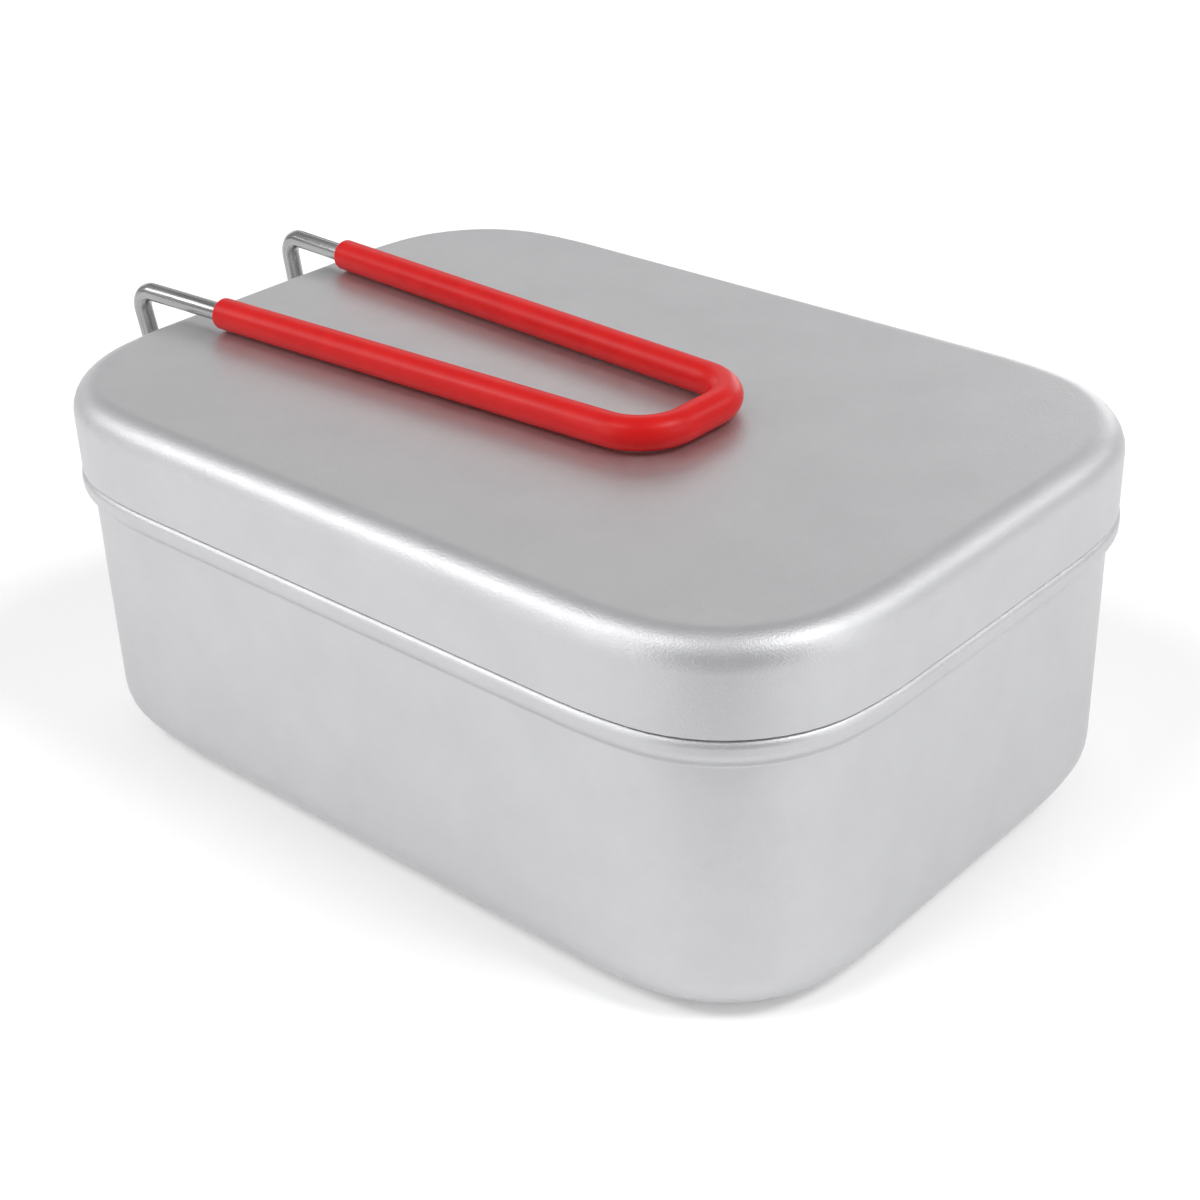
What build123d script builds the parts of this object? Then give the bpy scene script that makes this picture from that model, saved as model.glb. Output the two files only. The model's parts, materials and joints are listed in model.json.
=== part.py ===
from build123d import *
from math import cos, radians, sin, tan
import os

# A pressed aluminium mess tin: a deep pan, a lid whose skirt drops over the pan's rim and stands on a
# rolled bead, and a wire handle that turns in a bracket on one short end and folds over the lid.
# Millimetres. Origin at the centre of the pan's flat base, +X along the tin's length away from the
# handle hinge, +Z up.

# ---- the tin's outline: a rounded rectangle whose corners are three tangent arcs ----
lid_length = 170.0
lid_width = 119.5
corner_radius = 28.0        # the middle arc of each corner
shoulder_radius = 84.0      # the flatter arcs that lead into it
shoulder_angle = 9.0        # degrees turned on each shoulder arc

# ---- sheet metal ----
sheet = 1.0                 # thickness of the pan and lid
skirt_gap = 0.5             # between the lid's skirt and the pan's wall
lid_seat_gap = 0.3          # between the skirt's lower edge and the bead

# ---- heights ----
lid_top = 68.5
skirt_edge = 52.7           # lower edge of the lid's skirt
rim_height = 64.3           # top edge of the pan, inside the lid

# ---- form of the pan and lid ----
lid_shoulder = 5.2          # outside radius from the lid's top into its skirt
base_round = 8.6            # outside radius from the pan's base into its wall
bead_height = 4.9           # along the wall, from the lower crease to the top of the bead
bead_proud = 0.3            # how far the bead stands out past the lid's skirt
bead_slope = 2.0            # height over which the bead runs back into the wall below it
bead_top_round = 1.3        # outside radii of the bead
bead_face_round = 2.6
bead_crease = 0.8

# ---- handle wire and its sleeve ----
wire_diameter = 3.4
sleeve_diameter = 5.9
sleeve_bore_gap = 0.02      # radial
rest_gap = 0.25             # between the folded sleeve and the lid's top
handle_shift = -2.3         # along Y: the handle's place in its side play on the barrel
bend_x = -94.5              # corner where the wire turns down at the tin's end
bend_half_spacing = 18.9    # from the handle's middle to a leg, at that corner
grip_x = 28.5               # cross bar at the grip's closed end
grip_half_spacing = 12.5
foot_half_spacing = 18.0    # where the legs turn in to the barrel
leg_lean = 10.2             # degrees that the legs lean out from vertical when folded
bend_radius = 3.6           # wire centre line
grip_corner_radius = 9.0
foot_radius = 3.2
foot_chamfer = 0.3
sleeve_start_near = -70.7   # the sleeve sits a little further round on one leg than the other
sleeve_start_far = -76.2
sleeve_end_round = 0.5

# ---- bracket on the pan's -X wall ----
hinge_z = 41.0
pin_clearance = 0.06        # radial, between the wire's feet and the rolled barrel
barrel_length = 24.6
bracket_sheet = 1.0
bracket_bottom = 25.0
bracket_fold = 2.0          # outside radius where the plate turns out to the barrel
plate_corner = 3.0
roll_angle = 296.0          # degrees that the sheet is rolled, ending just under the run to the plate
pin_reach = 9.0             # length of each foot inside the barrel

# ---- rivets ----
rivet_half_spacing = 8.0
rivet_z = 32.5
rivet_shank_radius = 1.6
rivet_hole_gap = 0.02       # radial
rivet_head_radius = 3.5
rivet_head_height = 1.5
rivet_tail_radius = 3.0
rivet_tail_height = 1.2
rivet_tail_bevel = 0.4

# ---- worked out from the above ----
pan_inset = sheet + skirt_gap                   # the pan's outside face, inwards of the lid's
half_sheet = sheet / 2
bead_top = skirt_edge - lid_seat_gap
bead_bottom = bead_top - bead_height
wall_x = -(lid_length / 2 - pan_inset)          # outside face of the pan's -X wall
grip_z = lid_top + rest_gap + sleeve_diameter / 2
leg_drop = grip_z - hinge_z
hinge_x = bend_x + leg_drop * tan(radians(leg_lean))
leg_narrowing = (bend_half_spacing - grip_half_spacing) / (grip_x - bend_x)
wire_radius = wire_diameter / 2
barrel_bore = wire_radius + pin_clearance
rivet_dome_radius = (rivet_head_radius**2 + rivet_head_height**2) / (2 * rivet_head_height)


def tin_outline(inset):
    """The tin's closed outline on the XY plane, moved inwards by inset."""
    turn = radians(shoulder_angle)
    shoulder = shoulder_radius - inset
    corner = corner_radius - inset
    corner_extent = shoulder * (sin(turn) + 1 - cos(turn)) + corner * (cos(turn) - sin(turn))
    half_length = lid_length / 2 - inset
    half_width = lid_width / 2 - inset
    with BuildLine() as outline:
        side = Line((0, half_width), (half_length - corner_extent, half_width))
        first = JernArc(side @ 1, side % 1, shoulder, -shoulder_angle)
        middle = JernArc(first @ 1, first % 1, corner, 2 * shoulder_angle - 90)
        last = JernArc(middle @ 1, middle % 1, shoulder, -shoulder_angle)
        Line(last @ 1, (half_length, 0))
        mirror(about=Plane.XZ)
        mirror(about=Plane.YZ)
    return outline.wire()


def leg_half_spacing(x):
    """From the handle's middle to a grip leg at x; the legs close in towards the cross bar."""
    return bend_half_spacing - (x - bend_x) * leg_narrowing


def wire_corners():
    """Corners of the handle wire's centre line, from one foot's tip to the other's."""
    one_side = [
        (hinge_x, barrel_length / 2 - pin_reach, hinge_z),
        (hinge_x, foot_half_spacing, hinge_z),
        (bend_x, bend_half_spacing, grip_z),
        (grip_x, grip_half_spacing, grip_z),
    ]
    near = [(x, handle_shift - half_spacing, z) for x, half_spacing, z in one_side]
    far = [(x, handle_shift + half_spacing, z) for x, half_spacing, z in reversed(one_side)]
    return near + far


os.makedirs("parts", exist_ok=True)
outer_path = tin_outline(0)

# ---- pan: base, wall, rolled bead and rim, one sheet thick all the way round ----
with BuildPart() as pan:
    wall_y = lid_width / 2 - pan_inset - half_sheet
    bead_y = lid_width / 2 + bead_proud - half_sheet
    with BuildSketch(Plane.YZ):
        with BuildLine():
            FilletPolyline(
                (wall_y - base_round - sheet, half_sheet),
                (wall_y, half_sheet),
                (wall_y, bead_bottom),
                (bead_y, bead_bottom + bead_slope),
                (bead_y, bead_top - half_sheet),
                (wall_y, bead_top - half_sheet),
                (wall_y, rim_height),
                radius=[
                    base_round - half_sheet,
                    bead_crease + half_sheet,
                    bead_face_round - half_sheet,
                    bead_top_round - half_sheet,
                    bead_crease,
                ],
            )
        trace(line_width=sheet)
    sweep(path=outer_path)
    with BuildSketch():
        make_face(tin_outline(pan_inset + base_round).edges())
    extrude(amount=sheet)
    with BuildSketch(Plane.YZ.offset(wall_x)):
        with Locations((-rivet_half_spacing, rivet_z), (rivet_half_spacing, rivet_z)):
            Circle(rivet_shank_radius + rivet_hole_gap)
    extrude(amount=2 * sheet, both=True, mode=Mode.SUBTRACT)

# ---- lid: flat top and a skirt that drops over the pan's rim ----
with BuildPart() as lid:
    skirt_y = lid_width / 2 - half_sheet
    with BuildSketch(Plane.YZ):
        with BuildLine():
            FilletPolyline(
                (skirt_y - lid_shoulder - sheet, lid_top - half_sheet),
                (skirt_y, lid_top - half_sheet),
                (skirt_y, skirt_edge),
                radius=lid_shoulder - half_sheet,
            )
        trace(line_width=sheet)
    sweep(path=outer_path)
    with BuildSketch(Plane.XY.offset(lid_top)):
        make_face(tin_outline(lid_shoulder).edges())
    extrude(amount=-sheet)

# ---- bracket: a plate riveted to the pan, folded out and rolled into a barrel for the wire's feet ----
with BuildPart() as handle_bracket:
    plate_x = wall_x - bracket_sheet / 2
    roll_radius = barrel_bore + bracket_sheet / 2
    with BuildSketch(Plane.XZ):
        with BuildLine():
            plate = FilletPolyline(
                (plate_x, bracket_bottom),
                (plate_x, hinge_z + roll_radius),
                (hinge_x, hinge_z + roll_radius),
                radius=bracket_fold - bracket_sheet / 2,
            )
            JernArc(plate @ 1, plate % 1, roll_radius, roll_angle)
        trace(line_width=bracket_sheet)
    extrude(amount=barrel_length / 2, both=True)
    lower_corners = handle_bracket.edges().filter_by(Axis.X).group_by(Axis.Z)[0]
    fillet(lower_corners, radius=plate_corner)
    with BuildSketch(Plane.YZ.offset(wall_x)):
        with Locations((-rivet_half_spacing, rivet_z), (rivet_half_spacing, rivet_z)):
            Circle(rivet_shank_radius + rivet_hole_gap)
    extrude(amount=-2 * bracket_sheet, mode=Mode.SUBTRACT)

# ---- rivets: domed outside, upset flat inside ----
head_x = wall_x - bracket_sheet
tail_x = wall_x + sheet
for name, y in (("rivet_left", -rivet_half_spacing), ("rivet_right", rivet_half_spacing)):
    with BuildPart() as rivet:
        with BuildSketch(Plane((0, y, rivet_z), x_dir=(1, 0, 0), z_dir=(0, 0, 1))):
            with BuildLine():
                Polyline(
                    (head_x - rivet_head_height, 0),
                    (tail_x + rivet_tail_height, 0),
                    (tail_x + rivet_tail_height, rivet_tail_radius - rivet_tail_bevel),
                    (tail_x + rivet_tail_height - rivet_tail_bevel, rivet_tail_radius),
                    (tail_x, rivet_tail_radius),
                    (tail_x, rivet_shank_radius),
                    (head_x, rivet_shank_radius),
                    (head_x, rivet_head_radius),
                )
                RadiusArc(
                    (head_x, rivet_head_radius),
                    (head_x - rivet_head_height, 0),
                    -rivet_dome_radius,
                )
            make_face()
        revolve(axis=Axis((0, y, rivet_z), (1, 0, 0)))
    rivet.part.label = name
    export_step(rivet.part, f"parts/{name}.step")

# ---- handle wire: one length, turned in at the feet, bent over the lid and round the grip ----
with BuildPart() as handle_wire:
    with BuildLine():
        wire_line = FilletPolyline(
            *wire_corners(),
            radius=[
                foot_radius,
                bend_radius,
                grip_corner_radius,
                grip_corner_radius,
                bend_radius,
                foot_radius,
            ],
        )
    with BuildSketch(Plane(wire_line @ 0, z_dir=wire_line % 0)):
        Circle(wire_radius)
    sweep(path=wire_line)
    foot_tips = handle_wire.faces().filter_by(Axis.Y)
    chamfer(foot_tips.edges(), length=foot_chamfer)

# ---- sleeve: a soft tube on the wire, from one leg round the grip's closed end to the other ----
with BuildPart() as handle_sleeve:
    with BuildLine():
        sleeve_line = FilletPolyline(
            (sleeve_start_near, handle_shift - leg_half_spacing(sleeve_start_near), grip_z),
            (grip_x, handle_shift - grip_half_spacing, grip_z),
            (grip_x, handle_shift + grip_half_spacing, grip_z),
            (sleeve_start_far, handle_shift + leg_half_spacing(sleeve_start_far), grip_z),
            radius=grip_corner_radius,
        )
    with BuildSketch(Plane(sleeve_line @ 0, z_dir=sleeve_line % 0)):
        Circle(sleeve_diameter / 2)
    sweep(path=sleeve_line)
    sleeve_ends = handle_sleeve.faces().filter_by(GeomType.PLANE)
    fillet(sleeve_ends.edges(), radius=sleeve_end_round)
    with BuildSketch(Plane(sleeve_line @ 0, z_dir=sleeve_line % 0)):
        Circle(wire_radius + sleeve_bore_gap)
    sweep(path=sleeve_line, mode=Mode.SUBTRACT)

finished = {
    "pan": pan,
    "lid": lid,
    "handle_bracket": handle_bracket,
    "handle_wire": handle_wire,
    "handle_sleeve": handle_sleeve,
}
for name, piece in finished.items():
    piece.part.label = name
    export_step(piece.part, f"parts/{name}.step")
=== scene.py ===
"""Looks for the aluminium mess tin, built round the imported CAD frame. Metres, +Z up."""

import json
import math
from bisect import bisect_right

import bpy
from mathutils import Matrix, Vector


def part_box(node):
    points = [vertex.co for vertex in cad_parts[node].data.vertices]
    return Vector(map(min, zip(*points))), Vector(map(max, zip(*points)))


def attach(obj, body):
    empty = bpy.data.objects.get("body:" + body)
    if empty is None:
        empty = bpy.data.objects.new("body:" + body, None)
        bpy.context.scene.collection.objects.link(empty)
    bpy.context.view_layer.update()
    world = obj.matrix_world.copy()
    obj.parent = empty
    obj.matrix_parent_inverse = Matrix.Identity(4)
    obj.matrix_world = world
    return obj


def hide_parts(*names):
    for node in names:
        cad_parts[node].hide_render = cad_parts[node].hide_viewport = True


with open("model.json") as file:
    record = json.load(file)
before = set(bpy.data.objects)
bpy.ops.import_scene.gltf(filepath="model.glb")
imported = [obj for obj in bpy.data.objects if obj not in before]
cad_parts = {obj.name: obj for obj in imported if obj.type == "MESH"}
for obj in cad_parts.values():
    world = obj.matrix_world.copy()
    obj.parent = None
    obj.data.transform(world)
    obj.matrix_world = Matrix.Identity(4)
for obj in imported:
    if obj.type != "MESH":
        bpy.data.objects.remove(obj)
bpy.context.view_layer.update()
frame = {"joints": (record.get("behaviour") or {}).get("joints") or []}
MM = 0.001

# ---- driving sizes: the CAD's, apart from a thinner gap under the lid's skirt ----
SHEET = 1.0 * MM
CORNER_RADIUS = 28 * MM
SHOULDER_RADIUS = 84 * MM
SHOULDER_ANGLE = math.radians(9)
LID_ROUND = 5.2 * MM            # outside radius from the lid's top into its skirt
LID_SEAT_GAP = 0.15 * MM        # from the bead up to the skirt
SKIRT_GAP = 0.5 * MM
BASE_ROUND = 8.6 * MM
BEAD_HEIGHT = 4.9 * MM
BEAD_SLOPE = 2.0 * MM
BEAD_TOP_ROUND = 1.3 * MM
BEAD_FACE_ROUND = 2.6 * MM
BEAD_CREASE = 0.8 * MM
WIRE_RADIUS = 1.7 * MM
SLEEVE_RADIUS = 2.95 * MM
SLEEVE_BORE = 1.72 * MM
BEND_X = -94.5 * MM
BEND_HALF_SPACING = 18.9 * MM   # from the handle's middle to a leg, where the wire turns down
BEND_RADIUS = 3.6 * MM
GRIP_X = 28.5 * MM
GRIP_HALF_SPACING = 12.5 * MM
GRIP_CORNER_RADIUS = 9 * MM
SLEEVE_START_NEAR = -70.7 * MM
SLEEVE_START_FAR = -76.2 * MM
FOOT_HALF_SPACING = 18 * MM
FOOT_RADIUS = 3.2 * MM
FOOT_REACH = 9 * MM             # length of each foot inside the bracket's barrel
BARREL_BORE = 1.76 * MM
BRACKET_FOLD = 2.0 * MM
BRACKET_CORNER = 3.0 * MM
ROLL_ANGLE = math.radians(296)
RIVET_SHANK_RADIUS = 1.6 * MM
RIVET_HEAD_HEIGHT = 1.5 * MM
RIVET_TAIL_HEIGHT = 1.2 * MM
RIVET_TAIL_RADIUS = 3.0 * MM

# ---- how finely the pieces are built ----
ARC_STEP = math.radians(6)
RUN_STEP = 6 * MM               # longest step on a straight run
TUBE_SIDES = 40
MIDDLE_STEPS = 6                # rings from a flat panel's edge to its middle
EDGE_STEPS = 4                  # steps round a small rounded edge
ROUND_STEPS = 8                 # steps round a plate's corner or a rivet's dome
EDGE_ROUND = 0.22 * MM          # on the cut edges of the sheet
SLEEVE_END_ROUND = 0.5 * MM
SAME_PLACE = 0.1 * MM           # stations nearer to each other than this are one
PLACE_DIGITS = 7                # of a point in metres, when points are matched
QUARTER = math.pi / 2

# ---- places, from the frame ----
lid_low, lid_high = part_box("lid")
pan_low, pan_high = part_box("pan")
wire_low, wire_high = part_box("handle_wire")
bracket_low, bracket_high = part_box("handle_bracket")
hinge = next(Vector(joint["pos_m"]) for joint in frame["joints"] if joint["type"] == "hinge")
handle_y = (wire_low.y + wire_high.y) / 2
grip_z = wire_high.z - WIRE_RADIUS
pan_wall = SHEET + SKIRT_GAP    # the pan's outside face, inwards of the lid's


# ------------------------------------------------------------------------------- materials
NOISE_LOW, NOISE_HIGH = 0.3, 0.7    # where nearly all of a noise's values lie
FLOOR_GLOW = 0.14                   # emission that lifts the board to white


class Look:
    """A node material round one Principled shader, with the few kinds of node that the looks share."""

    def __init__(self, name, color, metallic, roughness):
        self.material = bpy.data.materials.new(name)
        self.material.use_nodes = True
        self.tree = self.material.node_tree
        self.shader = self.tree.nodes["Principled BSDF"]
        self.shader.inputs["Base Color"].default_value = (*color, 1)
        self.shader.inputs["Metallic"].default_value = metallic
        self.shader.inputs["Roughness"].default_value = roughness

    def add(self, kind, links, values):
        """A node of that kind, with its inputs linked to sockets or set to values."""
        node = self.tree.nodes.new("ShaderNode" + kind)
        for name, socket in links.items():
            self.tree.links.new(socket, node.inputs[name])
        for name, value in values.items():
            node.inputs[name].default_value = value
        return node

    def place(self):
        """Where a point is on its own piece, in metres."""
        return self.add("TexCoord", {}, {}).outputs["Object"]

    def drawn_place(self, stretch):
        """Where a point is on a tube as if it were straight; features come out longer by stretch."""
        attribute = self.add("Attribute", {}, {})
        attribute.attribute_name = "drawn"
        scale = (1 / stretch, 1, 1)
        mapping = self.add("Mapping", {"Vector": attribute.outputs["Vector"]}, {"Scale": scale})
        return mapping.outputs["Vector"]

    def noise(self, place, size, detail=2.0):
        """Smooth noise from 0 to 1, with features about that size across."""
        values = {"Scale": 1 / size, "Detail": detail}
        return self.add("TexNoise", {"Vector": place}, values).outputs["Fac"]

    def spread(self, value, low, high):
        """The middle of a noise's range, spread from low to high."""
        values = {"From Min": NOISE_LOW, "From Max": NOISE_HIGH, "To Min": low, "To Max": high}
        return self.add("MapRange", {"Value": value}, values).outputs["Result"]

    def tint(self, value, low, high):
        """A colour that goes from low to high over the middle of a noise's range."""
        ramp = self.add("ValToRGB", {"Fac": value}, {})
        stops = ((NOISE_LOW, low), (NOISE_HIGH, high))
        for element, (position, color) in zip(ramp.color_ramp.elements, stops):
            element.position = position
            element.color = (*color, 1)
        return ramp.outputs["Color"]

    def bump(self, height, depth, strength, below=None):
        """Raises the surface by up to depth where height is 1, over the bump below if there is one."""
        links = {"Height": height} | ({"Normal": below} if below else {})
        node = self.add("Bump", links, {"Distance": depth, "Strength": strength})
        return node.outputs["Normal"]

    def finish(self, **sockets):
        """Links sockets to the shader's inputs, named as in base_color."""
        for name, socket in sockets.items():
            self.tree.links.new(socket, self.shader.inputs[name.replace("_", " ").title()])
        return self.material


def satin_aluminium():
    """Finely blasted sheet: an even grain, faint cloudiness and a few soft handling marks."""
    look = Look("satin_aluminium", (0.58, 0.58, 0.59), metallic=0.95, roughness=0.5)
    place = look.place()
    grain = look.noise(place, size=0.36 * MM, detail=2.0)
    clouds = look.noise(place, size=14 * MM, detail=3.0)
    marks = look.noise(place, size=3 * MM, detail=5.0)
    relief = look.bump(clouds, depth=0.05 * MM, strength=0.25)
    relief = look.bump(grain, depth=0.05 * MM, strength=1.0, below=relief)
    return look.finish(
        base_color=look.tint(clouds, (0.566, 0.567, 0.578), (0.59, 0.591, 0.602)),
        roughness=look.spread(marks, 0.48, 0.52),
        normal=relief,
    )


def rivet_aluminium():
    """Soft rivet metal, a little duller than the sheet, with the marks of the rivet set."""
    look = Look("rivet_aluminium", (0.56, 0.56, 0.57), metallic=1.0, roughness=0.32)
    place = look.place()
    dents = look.noise(place, size=0.9 * MM, detail=3.0)
    grain = look.noise(place, size=0.15 * MM, detail=1.0)
    relief = look.bump(dents, depth=0.06 * MM, strength=0.5)
    relief = look.bump(grain, depth=0.01 * MM, strength=0.4, below=relief)
    return look.finish(
        base_color=look.tint(dents, (0.5, 0.5, 0.51), (0.6, 0.6, 0.61)),
        roughness=look.spread(dents, 0.26, 0.42),
        normal=relief,
    )


def bracket_steel():
    """Rolled stainless sheet with a short grain along the tin's width."""
    look = Look("bracket_steel", (0.5, 0.49, 0.48), metallic=1.0, roughness=0.3)
    mapping = look.add("Mapping", {"Vector": look.place()}, {"Scale": (1, 1 / 25, 1)})
    lines = look.noise(mapping.outputs["Vector"], size=0.2 * MM, detail=3.0)
    clouds = look.noise(look.place(), size=6 * MM, detail=3.0)
    relief = look.bump(lines, depth=0.01 * MM, strength=0.5)
    return look.finish(
        base_color=look.tint(clouds, (0.45, 0.44, 0.43), (0.53, 0.52, 0.51)),
        roughness=look.spread(lines, 0.24, 0.4),
        normal=relief,
    )


def wire_steel():
    """Drawn stainless wire: fine bright and dull lines along it."""
    look = Look("wire_steel", (0.3, 0.3, 0.3), metallic=1.0, roughness=0.24)
    lines = look.noise(look.drawn_place(40), size=0.35 * MM, detail=4.0)
    scuffs = look.noise(look.place(), size=1.5 * MM, detail=4.0)
    relief = look.bump(lines, depth=0.03 * MM, strength=0.5)
    relief = look.bump(scuffs, depth=0.02 * MM, strength=0.2, below=relief)
    return look.finish(
        base_color=look.tint(lines, (0.28, 0.28, 0.28), (0.44, 0.44, 0.44)),
        roughness=look.spread(lines, 0.2, 0.34),
        normal=relief,
    )


def red_sleeve():
    """Smooth silicone tube: soft sheen, faint extrusion lines and slight unevenness of colour."""
    look = Look("red_sleeve", (0.6, 0.006, 0.006), metallic=0.0, roughness=0.4)
    look.shader.inputs["Specular IOR Level"].default_value = 0.22
    lines = look.noise(look.drawn_place(60), size=0.5 * MM, detail=2.0)
    clouds = look.noise(look.place(), size=5 * MM, detail=3.0)
    grain = look.noise(look.place(), size=0.2 * MM, detail=1.0)
    relief = look.bump(lines, depth=0.02 * MM, strength=0.3)
    relief = look.bump(grain, depth=0.01 * MM, strength=0.25, below=relief)
    return look.finish(
        base_color=look.tint(clouds, (0.56, 0.004, 0.005), (0.62, 0.008, 0.008)),
        roughness=look.spread(lines, 0.34, 0.44),
        normal=relief,
    )


def matt_floor():
    """Pale studio board with a barely visible tooth."""
    look = Look("pale_floor", (0.9, 0.9, 0.9), metallic=0.0, roughness=0.9)
    look.shader.inputs["Specular IOR Level"].default_value = 0.1
    look.shader.inputs["Emission Color"].default_value = (1, 1, 1, 1)
    look.shader.inputs["Emission Strength"].default_value = FLOOR_GLOW
    clouds = look.noise(look.place(), size=0.4, detail=3.0)
    tooth = look.noise(look.place(), size=1.2 * MM, detail=2.0)
    return look.finish(
        base_color=look.tint(clouds, (0.895, 0.895, 0.895), (0.905, 0.905, 0.905)),
        normal=look.bump(tooth, depth=0.05 * MM, strength=0.1),
    )


MATERIALS = {
    "tin_aluminium": satin_aluminium(),
    "rivet_aluminium": rivet_aluminium(),
    "bracket_steel": bracket_steel(),
    "wire_steel": wire_steel(),
    "red_sleeve": red_sleeve(),
}


# ---------------------------------------------------------------------------- line geometry
def left_of(direction):
    """The flat direction a quarter turn to the left."""
    return Vector((-direction.y, direction.x))


def arc(start, direction, to_centre, radius, turn):
    """(point, direction) pairs along an arc, both its ends included."""
    count = max(3, math.ceil(turn / ARC_STEP))
    pairs = []
    for step in range(count + 1):
        sine, cosine = math.sin(turn * step / count), math.cos(turn * step / count)
        point = start + (direction * sine + to_centre * (1 - cosine)) * radius
        pairs.append((point, direction * cosine + to_centre * sine))
    return pairs


def rounded_line(corners, radii):
    """(point, direction) pairs along a line through the corners, each inner corner rounded."""
    line = [(corners[0], (corners[1] - corners[0]).normalized())]
    for before, corner, after, radius in zip(corners, corners[1:], corners[2:], radii):
        way_in = (corner - before).normalized()
        way_out = (after - corner).normalized()
        turn = way_in.angle(way_out)
        to_centre = (way_out - way_in * way_in.dot(way_out)).normalized()
        line += arc(corner - way_in * radius * math.tan(turn / 2), way_in, to_centre, radius, turn)
    return line + [(corners[-1], way_out)]


def divided(line):
    """The same line, its longer runs divided evenly."""
    result = [line[0]]
    for (start, _), (end, direction) in zip(line, line[1:]):
        count = max(1, math.ceil((end - start).length / RUN_STEP))
        result += [(start.lerp(end, step / count), direction) for step in range(1, count + 1)]
    return result


# ---------------------------------------------------------------------------- mesh geometry
class Skin:
    """Vertices and faces of one piece. A point that is given twice is one vertex."""

    def __init__(self):
        self.vertices = []
        self.drawn = []
        self.faces = []
        self.known = {}

    def ring(self, points, drawn=None):
        """Vertex numbers of a closed ring of points; drawn is where each is on the straight tube."""
        numbers = []
        for index, point in enumerate(points):
            key = tuple(round(value, PLACE_DIGITS) for value in point)
            if key not in self.known:
                self.known[key] = len(self.vertices)
                self.vertices.append(point)
                self.drawn.append(drawn[index] if drawn else point)
            numbers.append(self.known[key])
        return numbers

    def join(self, rings):
        """Faces between neighbouring rings, without the corners that fall together."""
        for low, high in zip(rings, rings[1:]):
            for index in range(len(low)):
                after = (index + 1) % len(low)
                corners = [low[index], low[after], high[after], high[index]]
                face = [number for place, number in enumerate(corners) if number != corners[place - 1]]
                if len(face) > 2:
                    self.faces.append(face)

    def piece(self, node, slot, body):
        """The finished mesh object, which stands for the CAD node."""
        mesh = bpy.data.meshes.new(node + "_skin")
        mesh.from_pydata(self.vertices, [], self.faces)
        attribute = mesh.attributes.new("drawn", "FLOAT_VECTOR", "POINT")
        for item, value in zip(attribute.data, self.drawn):
            item.vector = value
        mesh.shade_smooth()
        mesh.materials.append(MATERIALS[slot])
        skin = bpy.data.objects.new(node + "_skin", mesh)
        bpy.context.scene.collection.objects.link(skin)
        skin.modifiers.new("even_shading", "WEIGHTED_NORMAL").weight = 100
        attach(skin, body)
        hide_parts(node)
        return skin


# ------------------------------------------------------------------------------ pan and lid
def quarter_outline():
    """(point, direction) pairs of the lid's outside from the +X axis round to the +Y axis."""
    sine, cosine = math.sin(SHOULDER_ANGLE), math.cos(SHOULDER_ANGLE)
    extent = SHOULDER_RADIUS * (sine + 1 - cosine) + CORNER_RADIUS * (cosine - sine)
    line = [(Vector((lid_high.x, 0)), Vector((0, 1))),
            (Vector((lid_high.x, lid_high.y - extent)), Vector((0, 1)))]
    for radius, turn in ((SHOULDER_RADIUS, SHOULDER_ANGLE),
                         (CORNER_RADIUS, QUARTER - 2 * SHOULDER_ANGLE),
                         (SHOULDER_RADIUS, SHOULDER_ANGLE)):
        start, direction = line[-1]
        line += arc(start, direction, left_of(direction), radius, turn)[1:]
    line.append((Vector((0, lid_high.y)), Vector((-1, 0))))
    return divided(line)


def tin_outline():
    """(point, outward) pairs all the way round the lid's outside."""
    quarter = [(point, -left_of(direction)) for point, direction in quarter_outline()]
    flip = Matrix(((-1, 0), (0, 1)))
    half = quarter + [(flip @ point, flip @ outward) for point, outward in reversed(quarter[:-1])]
    return half + [(-point, -outward) for point, outward in half[1:-1]]


def sheet_section(line, outer):
    """A closed-ended strip one sheet thick about a line of (out, up) points, its far edge rounded.

    outer is +1 where the outside face is left of the line and -1 where it is right.
    """
    half = SHEET / 2
    first_side = [point + left_of(direction) * outer * half for point, direction in line[:-1]]
    last_side = [point - left_of(direction) * outer * half for point, direction in line[:-1]]
    tip, heading = line[-1]
    across = left_of(heading) * outer
    core = tip - heading * EDGE_ROUND
    edge = arc(core + across * half, heading, -across, EDGE_ROUND, QUARTER)
    edge += arc(tip - across * (half - EDGE_ROUND), -across, -heading, EDGE_ROUND, QUARTER)
    return first_side + [point for point, _ in edge] + last_side[::-1]


def pressed_sheet(node, line, outer, body):
    """A sheet pressed to the tin's outline, its section given as a line of (out, up) points."""
    outline = tin_outline()
    section = sheet_section(line, outer)
    spine_end = lid_high.x - lid_high.y
    skin = Skin()

    def middle(out, up):
        """Rings from the flat panel's middle line out to its edge."""
        rings = []
        for step in range(MIDDLE_STEPS):
            points = []
            for point, outward in outline:
                edge = point + outward * out
                spine = Vector((max(-spine_end, min(spine_end, edge.x)), 0))
                points.append((*spine.lerp(edge, step / MIDDLE_STEPS), up))
            rings.append(skin.ring(points))
        return rings

    rings = middle(*section[0])
    rings += [skin.ring([(*(point + outward * out), up) for point, outward in outline])
              for out, up in section]
    rings += middle(*section[-1])[::-1]
    skin.join(rings[::-1] if outer > 0 else rings)
    return skin.piece(node, "tin_aluminium", body)


def make_lid():
    """Flat top and a skirt that drops over the pan's rim."""
    half = SHEET / 2
    top = lid_high.z - half
    corners = [Vector((-LID_ROUND - SHEET, top)), Vector((-half, top)), Vector((-half, lid_low.z))]
    return pressed_sheet("lid", rounded_line(corners, [LID_ROUND - half]), 1, "lid_body")


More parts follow.
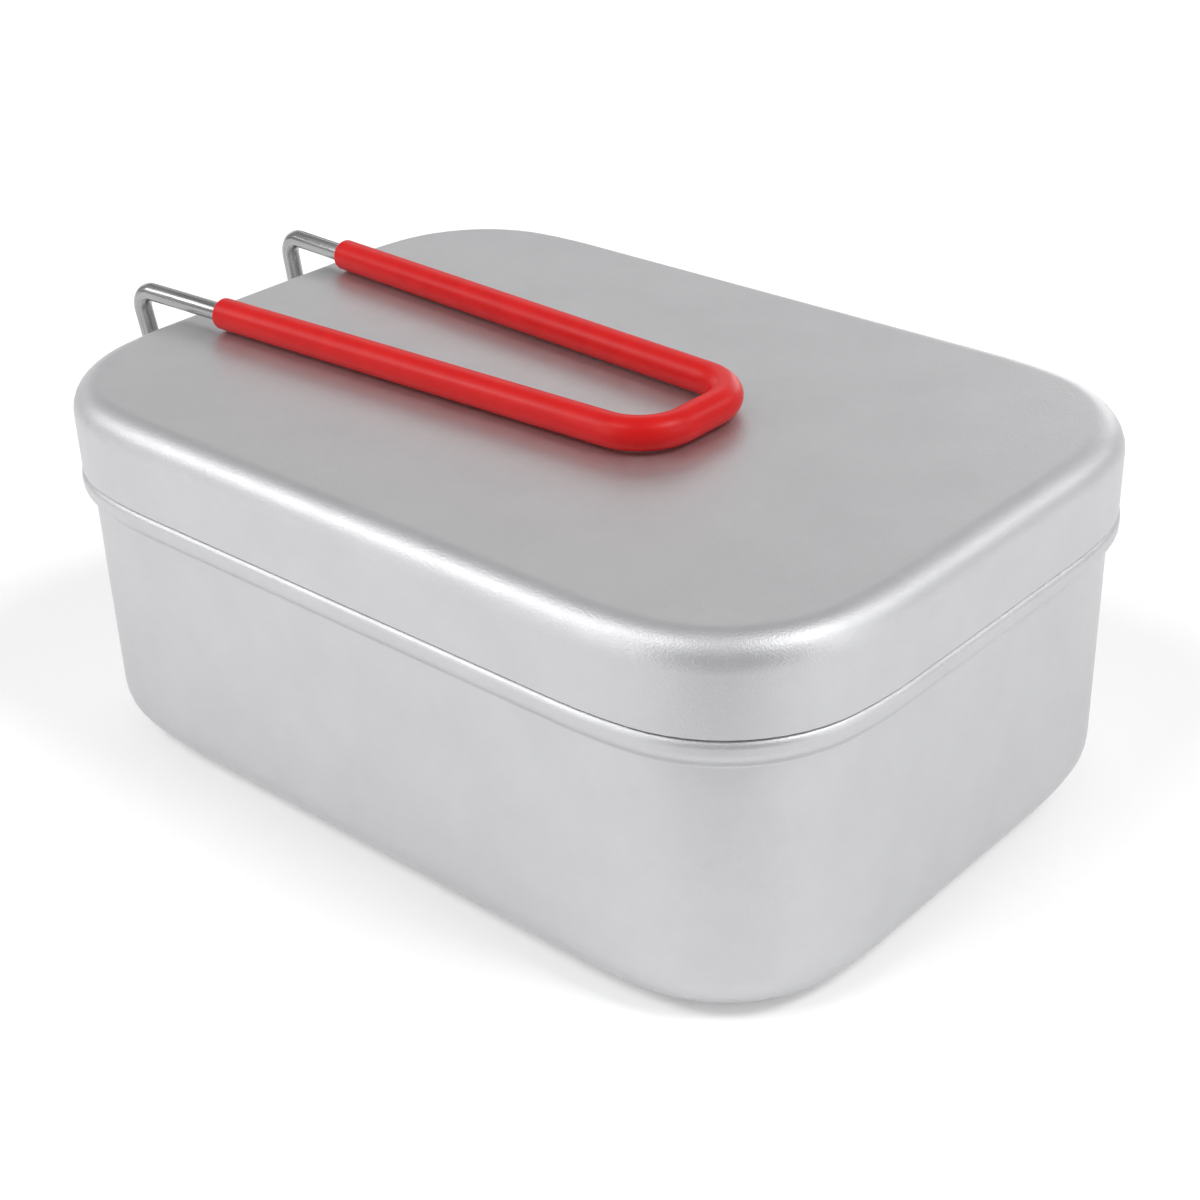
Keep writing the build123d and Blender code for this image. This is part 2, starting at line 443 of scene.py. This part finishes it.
def make_pan():
    """Base, wall, the bead that the lid stands on, and the rim inside the lid."""
    half = SHEET / 2
    wall = -pan_wall - half
    bead = pan_high.y - lid_high.y - half
    bead_top = lid_low.z - LID_SEAT_GAP
    bead_bottom = bead_top - BEAD_HEIGHT
    corners = [
        Vector((wall - BASE_ROUND - SHEET, half)),
        Vector((wall, half)),
        Vector((wall, bead_bottom)),
        Vector((bead, bead_bottom + BEAD_SLOPE)),
        Vector((bead, bead_top - half)),
        Vector((wall, bead_top - half)),
        Vector((wall, pan_high.z)),
    ]
    radii = [
        BASE_ROUND - half,
        BEAD_CREASE + half,
        BEAD_FACE_ROUND - half,
        BEAD_TOP_ROUND - half,
        BEAD_CREASE,
    ]
    return pressed_sheet("pan", rounded_line(corners, radii), -1, "pan_body")


# ------------------------------------------------------------- wire, sleeve, bracket, rivets
class Path:
    """A line in space with a steady pair of cross directions along it."""

    def __init__(self, line, first_cross=None):
        self.points = [point for point, _ in line]
        self.directions = [direction for _, direction in line]
        self.crosses = [(first_cross or self.directions[0].orthogonal()).normalized()]
        self.distances = [0.0]
        for index in range(1, len(line)):
            turn = self.directions[index - 1].rotation_difference(self.directions[index])
            self.crosses.append(turn @ self.crosses[-1])
            run = (self.points[index] - self.points[index - 1]).length
            self.distances.append(self.distances[-1] + run)
        self.length = self.distances[-1]

    def between(self, start, end):
        """Distances of the line's own points between two distances."""
        low, high = start + SAME_PLACE, end - SAME_PLACE
        return [distance for distance in self.distances if low < distance < high]

    def section(self, distance, outline):
        """Points of a flat outline of (cross, other) pairs, carried to that distance."""
        index = max(1, min(len(self.points) - 1, bisect_right(self.distances, distance)))
        run = self.distances[index] - self.distances[index - 1]
        share = (distance - self.distances[index - 1]) / run
        centre = self.points[index - 1].lerp(self.points[index], share)
        direction = self.directions[index - 1].lerp(self.directions[index], share).normalized()
        cross = self.crosses[index - 1].lerp(self.crosses[index], share).normalized()
        other = direction.cross(cross)
        return [centre + cross * a + other * b for a, b in outline]


def circle(radius):
    """A tube's outline as (cross, other) pairs."""
    turns = [2 * math.pi * side / TUBE_SIDES for side in range(TUBE_SIDES)]
    return [(radius * math.cos(turn), radius * math.sin(turn)) for turn in turns]


def round_tube(node, path, stations, slot, body, hollow=False):
    """Circles along a path at (distance, radius) stations, from its start to its end and, for a
    hollow tube, back again inside."""
    skin = Skin()
    rings = []
    for distance, radius in stations + (stations[:1] if hollow else []):
        outline = circle(radius)
        drawn = [(distance, a, b) for a, b in outline]
        rings.append(skin.ring(path.section(distance, outline), drawn))
    skin.join(rings)
    return skin.piece(node, slot, body)


def rounded_end(face, radius, size, at_start, of_bore=False):
    """(distance, radius) stations round the edge between an end face and a tube's side or bore."""
    into_tube = 1 if at_start else -1
    into_wall = 1 if of_bore else -1
    stations = []
    for step in range(EDGE_STEPS + 1):
        turn = QUARTER * step / EDGE_STEPS
        distance = face + into_tube * size * (1 - math.cos(turn))
        stations.append((distance, radius + into_wall * size * (1 - math.sin(turn))))
    return stations if at_start else stations[::-1]


def leg_half_spacing(x):
    """From the handle's middle to a grip leg at x."""
    narrowing = (BEND_HALF_SPACING - GRIP_HALF_SPACING) / (GRIP_X - BEND_X)
    return BEND_HALF_SPACING - (x - BEND_X) * narrowing


def make_wire():
    """One length of wire from foot to foot."""
    side = [
        (hinge.x, bracket_high.y - FOOT_REACH, hinge.z),
        (hinge.x, FOOT_HALF_SPACING, hinge.z),
        (BEND_X, BEND_HALF_SPACING, grip_z),
        (GRIP_X, GRIP_HALF_SPACING, grip_z),
    ]
    corners = [Vector((x, handle_y - y, z)) for x, y, z in side]
    corners += [Vector((x, handle_y + y, z)) for x, y, z in reversed(side)]
    radii = [FOOT_RADIUS, BEND_RADIUS, GRIP_CORNER_RADIUS]
    path = Path(divided(rounded_line(corners, radii + radii[::-1])))
    stations = [(0, 0)] + rounded_end(0, WIRE_RADIUS, EDGE_ROUND, True)
    stations += [(distance, WIRE_RADIUS)
                 for distance in path.between(EDGE_ROUND, path.length - EDGE_ROUND)]
    stations += rounded_end(path.length, WIRE_RADIUS, EDGE_ROUND, False) + [(path.length, 0)]
    return round_tube("handle_wire", path, stations, "wire_steel", "handle_body")


def make_sleeve():
    """The tube over the wire's legs and closed end."""
    corners = [
        Vector((SLEEVE_START_NEAR, handle_y - leg_half_spacing(SLEEVE_START_NEAR), grip_z)),
        Vector((GRIP_X, handle_y - GRIP_HALF_SPACING, grip_z)),
        Vector((GRIP_X, handle_y + GRIP_HALF_SPACING, grip_z)),
        Vector((SLEEVE_START_FAR, handle_y + leg_half_spacing(SLEEVE_START_FAR), grip_z)),
    ]
    path = Path(divided(rounded_line(corners, [GRIP_CORNER_RADIUS] * 2)))
    inner_round = SLEEVE_END_ROUND / 3
    outside = rounded_end(0, SLEEVE_RADIUS, SLEEVE_END_ROUND, True)
    outside += [(distance, SLEEVE_RADIUS)
                for distance in path.between(SLEEVE_END_ROUND, path.length - SLEEVE_END_ROUND)]
    outside += rounded_end(path.length, SLEEVE_RADIUS, SLEEVE_END_ROUND, False)
    bore = rounded_end(0, SLEEVE_BORE, inner_round, True, of_bore=True)
    bore += [(distance, SLEEVE_BORE)
             for distance in path.between(inner_round, path.length - inner_round)]
    bore += rounded_end(path.length, SLEEVE_BORE, inner_round, False, of_bore=True)
    return round_tube("handle_sleeve", path, outside + bore[::-1], "red_sleeve", "handle_body", True)


def make_rivet(node):
    """Domed head outside the bracket, shank through the wall, flat tail inside the pan."""
    low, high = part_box(node)
    middle = (low + high) / 2
    head_radius = (high.z - low.z) / 2
    head = RIVET_HEAD_HEIGHT
    tail_start = high.x - low.x - RIVET_TAIL_HEIGHT
    path = Path(divided([(Vector((low.x, middle.y, middle.z)), Vector((1, 0, 0))),
                         (Vector((high.x, middle.y, middle.z)), Vector((1, 0, 0)))]))
    dome = (head_radius ** 2 + head ** 2) / (2 * head)
    full_turn = math.asin(head_radius / dome)
    turns = [full_turn * step / ROUND_STEPS for step in range(ROUND_STEPS + 1)]
    stations = [(dome * (1 - math.cos(turn)), dome * math.sin(turn)) for turn in turns]
    stations += [(head, RIVET_SHANK_RADIUS), (tail_start, RIVET_SHANK_RADIUS)]
    stations += rounded_end(tail_start, RIVET_TAIL_RADIUS, EDGE_ROUND / 2, True)
    stations += rounded_end(path.length, RIVET_TAIL_RADIUS, EDGE_ROUND, False) + [(path.length, 0)]
    return round_tube(node, path, stations, "rivet_aluminium", "pan_body")


def rounded_bar(half_width, half_thickness, corner):
    """A flat bar's outline as (cross, other) pairs, its four corners rounded."""
    outline = []
    for quadrant, (a, b) in enumerate(((1, 1), (-1, 1), (-1, -1), (1, -1))):
        for step in range(EDGE_STEPS + 1):
            turn = QUARTER * (quadrant + step / EDGE_STEPS)
            outline.append((a * (half_width - corner) + corner * math.cos(turn),
                            b * (half_thickness - corner) + corner * math.sin(turn)))
    return outline


def bracket_path():
    """The middle of the bracket's sheet, from the plate's lower edge to the end of the roll."""
    half = SHEET / 2
    roll = BARREL_BORE + half
    plate_x = lid_low.x + pan_wall - half
    fold_z = hinge.z + roll
    corners = [Vector((plate_x, bracket_low.z)), Vector((plate_x, fold_z)), Vector((hinge.x, fold_z))]
    line = rounded_line(corners, [BRACKET_FOLD - half])
    end, direction = line[-1]
    line += arc(end, direction, Vector((0, -1)), roll, ROLL_ANGLE)[1:]
    upright = [(Vector((point.x, 0, point.y)), Vector((way.x, 0, way.y))) for point, way in line]
    return Path(divided(upright), Vector((0, 1, 0)))


def make_bracket():
    """A plate against the pan's end wall, folded out and rolled into a barrel for the wire's feet."""
    path = bracket_path()
    edge = []
    for step in range(EDGE_STEPS + 1):
        turn = QUARTER * step / EDGE_STEPS
        edge.append((EDGE_ROUND * (1 - math.cos(turn)), EDGE_ROUND * (1 - math.sin(turn))))
    corner = [BRACKET_CORNER * step / ROUND_STEPS for step in range(2, ROUND_STEPS + 1)]
    run = path.between(BRACKET_CORNER, path.length - EDGE_ROUND)
    stations = edge + [(distance, 0) for distance in corner + run]
    stations += [(path.length - distance, inset) for distance, inset in edge[::-1]]
    skin = Skin()
    rings = []
    for distance, inset in stations:
        short = max(0.0, BRACKET_CORNER - distance)
        narrowed = BRACKET_CORNER - math.sqrt(BRACKET_CORNER ** 2 - short ** 2)
        edge_radius = max(EDGE_ROUND - inset, EDGE_ROUND / 10)
        outline = rounded_bar(bracket_high.y - narrowed - inset, SHEET / 2 - inset, edge_radius)
        rings.append(skin.ring(path.section(distance, outline)))
    skin.join(rings)
    skin.faces += [rings[0][::-1], rings[-1]]
    return skin.piece("handle_bracket", "bracket_steel", "pan_body")


make_pan()
make_lid()
make_wire()
make_sleeve()
make_bracket()
for rivet in ("rivet_left", "rivet_right"):
    make_rivet(rivet)


# ----------------------------------------------------------------------------------- stage
FLOOR_RADIUS = 3
FLOOR_SIDES = 96
CAMERA_AZIMUTH = 42.2           # degrees, as in direction_from
LIGHT_DISTANCE = 1.6
KEY_RADIANCE = 15
# name: (azimuth, elevation, width, height, share of the key's radiance)
SOFTBOXES = {
    "right_high": (104, 55, 0.45, 0.4, 1),
    "left_high": (-13, 58, 0.45, 0.4, 1 / 2),
    "far_left": (-48, 34, 0.45, 0.35, 2 / 3),
    "far_left_high": (-48, 48, 0.45, 0.35, 1 / 5),
    "far_right": (142, 30, 0.45, 0.35, 1 / 3),
    "left_low": (-18, 17, 0.75, 0.75, 1 / 7),
    "right_low": (102, 17, 0.75, 0.75, 1 / 7),
    "back_right_low": (192, 12, 0.75, 0.5, 1 / 5),
    "back_left_low": (-108, 12, 0.75, 0.5, 1 / 15),
    "back": (222, 30, 0.8, 0.5, 1 / 15),
}
# the card that paints a dark reflection onto the tin's near corner: how dark it is, and where it
# stands
FLAG_DENSITY = 0.5
FLAG_NEAR = (0.17, 0.05, 0.002)     # of each edge: reach from the middle, half width, height
FLAG_FAR = (0.6, 0.16, 0.06)


def direction_from(azimuth, elevation):
    """The way out from the tin, azimuth turning from -Y towards +X, both in degrees."""
    turn, rise = math.radians(azimuth), math.radians(elevation)
    across = math.cos(rise)
    return Vector((math.sin(turn) * across, -math.cos(turn) * across, math.sin(rise)))


def stage_panel(name, corners, material):
    """A flat panel that belongs to the studio, not to the tin."""
    mesh = bpy.data.meshes.new(name)
    mesh.from_pydata(corners, [], [list(range(len(corners)))])
    mesh.materials.append(material)
    panel = bpy.data.objects.new(name, mesh)
    bpy.context.scene.collection.objects.link(panel)
    return panel


def make_floor():
    """A wide round board under the tin."""
    turns = [2 * math.pi * side / FLOOR_SIDES for side in range(FLOOR_SIDES)]
    rim = [(FLOOR_RADIUS * math.cos(turn), FLOOR_RADIUS * math.sin(turn), 0) for turn in turns]
    stage_panel("floor", rim, matt_floor())


def make_dark_reflection_card():
    """A smoked card in front of the nearest corner, sloping up off the board, that only gloss sees: it
    paints a dark reflection onto the tin's near corner and casts no shadow of its own.
    """
    ahead, level = direction_from(CAMERA_AZIMUTH, 0), direction_from(CAMERA_AZIMUTH + 90, 0)
    corners = []
    for side, edges in ((1, (FLAG_NEAR, FLAG_FAR)), (-1, (FLAG_FAR, FLAG_NEAR))):
        for reach, half_width, height in edges:
            corners.append(ahead * reach + level * half_width * side + Vector((0, 0, height)))
    # painted dark reflection: a black, half-clear card that only reflections see
    look = Look("dark_reflection_card", (0.02, 0.02, 0.02), metallic=0.0, roughness=1.0)
    look.shader.inputs["Alpha"].default_value = FLAG_DENSITY
    flag = stage_panel("flag", corners, look.material)
    flag.visible_camera = flag.visible_diffuse = flag.visible_shadow = False


def softbox(name, azimuth, elevation, width, height, share):
    """A lamp that faces the tin, its brightness a share of the key's."""
    light = bpy.data.lights.new(name, "AREA")
    light.shape = "RECTANGLE"
    light.size, light.size_y = width, height
    light.energy = share * KEY_RADIANCE * math.pi * width * height
    lamp = bpy.data.objects.new(name, light)
    outwards = direction_from(azimuth, elevation)
    lamp.location = outwards * LIGHT_DISTANCE
    lamp.rotation_euler = outwards.to_track_quat("Z", "Y").to_euler()
    bpy.context.scene.collection.objects.link(lamp)


def make_world(color, strength):
    """Even light from all round."""
    world = bpy.data.worlds.new("studio")
    world.use_nodes = True
    background = world.node_tree.nodes["Background"]
    background.inputs["Color"].default_value = (*color, 1)
    background.inputs["Strength"].default_value = strength
    bpy.context.scene.world = world


def make_camera(azimuth, elevation, roll, distance, lens, aside, above, target_z):
    """A camera that looks along the direction from azimuth and elevation, moved aside and above."""
    data = bpy.data.cameras.new("camera")
    data.sensor_width = 36
    data.lens = lens
    data.clip_start, data.clip_end = 0.01, 20
    back = direction_from(azimuth, elevation)
    level = direction_from(azimuth + 90, 0)
    upright = back.cross(level)
    turn = math.radians(roll)
    right = level * math.cos(turn) + upright * math.sin(turn)
    up = upright * math.cos(turn) - level * math.sin(turn)
    place = back * distance + right * aside + up * above + Vector((0, 0, target_z))
    camera = bpy.data.objects.new("camera", data)
    camera.matrix_world = Matrix.Translation(place) @ Matrix((right, up, back)).transposed().to_4x4()
    bpy.context.scene.collection.objects.link(camera)
    bpy.context.scene.camera = camera


make_floor()
make_dark_reflection_card()
for name, settings in SOFTBOXES.items():
    softbox(name, *settings)
make_world(color=(1, 1, 1), strength=0.4)
make_camera(
    azimuth=CAMERA_AZIMUTH,
    elevation=29.16,
    roll=-1.9,
    distance=378.5 * MM,
    lens=62.5,
    aside=2.5 * MM,
    above=-3.1 * MM,
    target_z=30 * MM,
)
bpy.context.scene.view_settings.view_transform = "Standard"
